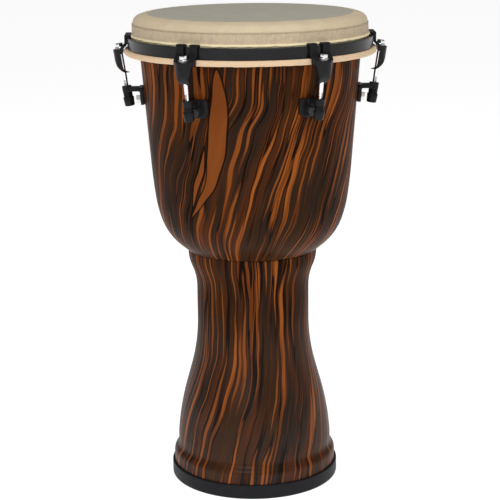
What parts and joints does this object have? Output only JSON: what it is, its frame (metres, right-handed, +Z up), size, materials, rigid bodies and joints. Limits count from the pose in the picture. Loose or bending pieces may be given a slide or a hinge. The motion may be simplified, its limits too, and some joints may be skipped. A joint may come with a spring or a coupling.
{
  "type": "djembe",
  "caption": "Goblet hand drum with a bowl and stem shell, a tucked skin head, and a steel hoop drawn down by hooked claws on leaning rods and side brackets.",
  "frame": {"origin": "on the drum's axis, at the underside of the rubber foot", "axes": "+Z up along the drum's axis, -Y to the front between two lugs, +X through lug 1"},
  "size_m": [0.3718, 0.3412, 0.655],
  "materials": {
    "shell": "satin fibreglass shell with a printed wood-grain film",
    "skin": "fibrous synthetic skin, matt",
    "black_metal": "gloss black powder coat",
    "chrome": "bright plated steel",
    "steel": "zinc-plated steel",
    "rubber": "matt black rubber"
  },
  "bodies": {
    "root": {"bowl_shell": "shell", "stem_shell": "shell", "foot_ring": "rubber", "head_skin": "skin", "bracket_gaskets": "rubber", "backing_plates": "steel", "mount_bolts": "chrome", "mount_nuts": "steel", "lug_bracket_1": "black_metal", "barrel_nut_1": "black_metal", "lug_bracket_2": "black_metal", "barrel_nut_2": "black_metal", "lug_bracket_3": "black_metal", "barrel_nut_3": "black_metal", "lug_bracket_4": "black_metal", "barrel_nut_4": "black_metal", "lug_bracket_5": "black_metal", "barrel_nut_5": "black_metal", "lug_bracket_6": "black_metal", "barrel_nut_6": "black_metal"},
    "hoop": {"tension_hoop": "black_metal", "flesh_hoop": "steel"},
    "claw_1": {"claw_1": "black_metal", "rod_washer_1": "steel"},
    "rod_1": {"tension_rod_1": "chrome"},
    "claw_2": {"claw_2": "black_metal", "rod_washer_2": "steel"},
    "rod_2": {"tension_rod_2": "chrome"},
    "claw_3": {"claw_3": "black_metal", "rod_washer_3": "steel"},
    "rod_3": {"tension_rod_3": "chrome"},
    "claw_4": {"claw_4": "black_metal", "rod_washer_4": "steel"},
    "rod_4": {"tension_rod_4": "chrome"},
    "claw_5": {"claw_5": "black_metal", "rod_washer_5": "steel"},
    "rod_5": {"tension_rod_5": "chrome"},
    "claw_6": {"claw_6": "black_metal", "rod_washer_6": "steel"},
    "rod_6": {"tension_rod_6": "chrome"}
  },
  "joints": [
    {"name": "hoop_tune", "type": "slide", "parent": "root", "child": "hoop", "axis": [0, 0, -1], "range_m": [-0.003, 0.003], "deforming": ["head_skin"]},
    {"name": "claw_1_slide", "type": "slide", "parent": "root", "child": "claw_1", "axis": [-0.1478, 0, -0.989], "range_m": [-0.0031, 0.0031]},
    {"name": "rod_1_turn", "type": "hinge", "parent": "claw_1", "child": "rod_1", "pos_m": [0.1764, 0, 0.6082], "axis": [-0.1478, 0, -0.989], "range_deg": [-1100, 1100]},
    {"name": "claw_2_slide", "type": "slide", "parent": "root", "child": "claw_2", "axis": [-0.0739, -0.128, -0.989], "range_m": [-0.0031, 0.0031]},
    {"name": "rod_2_turn", "type": "hinge", "parent": "claw_2", "child": "rod_2", "pos_m": [0.0882, 0.15277, 0.6082], "axis": [-0.0739, -0.128, -0.989], "range_deg": [-1100, 1100]},
    {"name": "claw_3_slide", "type": "slide", "parent": "root", "child": "claw_3", "axis": [0.0739, -0.128, -0.989], "range_m": [-0.0031, 0.0031]},
    {"name": "rod_3_turn", "type": "hinge", "parent": "claw_3", "child": "rod_3", "pos_m": [-0.0882, 0.15277, 0.6082], "axis": [0.0739, -0.128, -0.989], "range_deg": [-1100, 1100]},
    {"name": "claw_4_slide", "type": "slide", "parent": "root", "child": "claw_4", "axis": [0.1478, 0, -0.989], "range_m": [-0.0031, 0.0031]},
    {"name": "rod_4_turn", "type": "hinge", "parent": "claw_4", "child": "rod_4", "pos_m": [-0.1764, 0, 0.6082], "axis": [0.1478, 0, -0.989], "range_deg": [-1100, 1100]},
    {"name": "claw_5_slide", "type": "slide", "parent": "root", "child": "claw_5", "axis": [0.0739, 0.128, -0.989], "range_m": [-0.0031, 0.0031]},
    {"name": "rod_5_turn", "type": "hinge", "parent": "claw_5", "child": "rod_5", "pos_m": [-0.0882, -0.15277, 0.6082], "axis": [0.0739, 0.128, -0.989], "range_deg": [-1100, 1100]},
    {"name": "claw_6_slide", "type": "slide", "parent": "root", "child": "claw_6", "axis": [-0.0739, 0.128, -0.989], "range_m": [-0.0031, 0.0031]},
    {"name": "rod_6_turn", "type": "hinge", "parent": "claw_6", "child": "rod_6", "pos_m": [0.0882, -0.15277, 0.6082], "axis": [-0.0739, 0.128, -0.989], "range_deg": [-1100, 1100]}
  ],
  "couplings": [
    {"joint": "claw_1_slide", "follows": "hoop_tune", "ratio": 1.0111},
    {"joint": "rod_1_turn", "follows": "hoop_tune", "rad_per_m": 6353},
    {"joint": "claw_2_slide", "follows": "hoop_tune", "ratio": 1.0111},
    {"joint": "rod_2_turn", "follows": "hoop_tune", "rad_per_m": 6353},
    {"joint": "claw_3_slide", "follows": "hoop_tune", "ratio": 1.0111},
    {"joint": "rod_3_turn", "follows": "hoop_tune", "rad_per_m": 6353},
    {"joint": "claw_4_slide", "follows": "hoop_tune", "ratio": 1.0111},
    {"joint": "rod_4_turn", "follows": "hoop_tune", "rad_per_m": 6353},
    {"joint": "claw_5_slide", "follows": "hoop_tune", "ratio": 1.0111},
    {"joint": "rod_5_turn", "follows": "hoop_tune", "rad_per_m": 6353},
    {"joint": "claw_6_slide", "follows": "hoop_tune", "ratio": 1.0111},
    {"joint": "rod_6_turn", "follows": "hoop_tune", "rad_per_m": 6353}
  ]
}
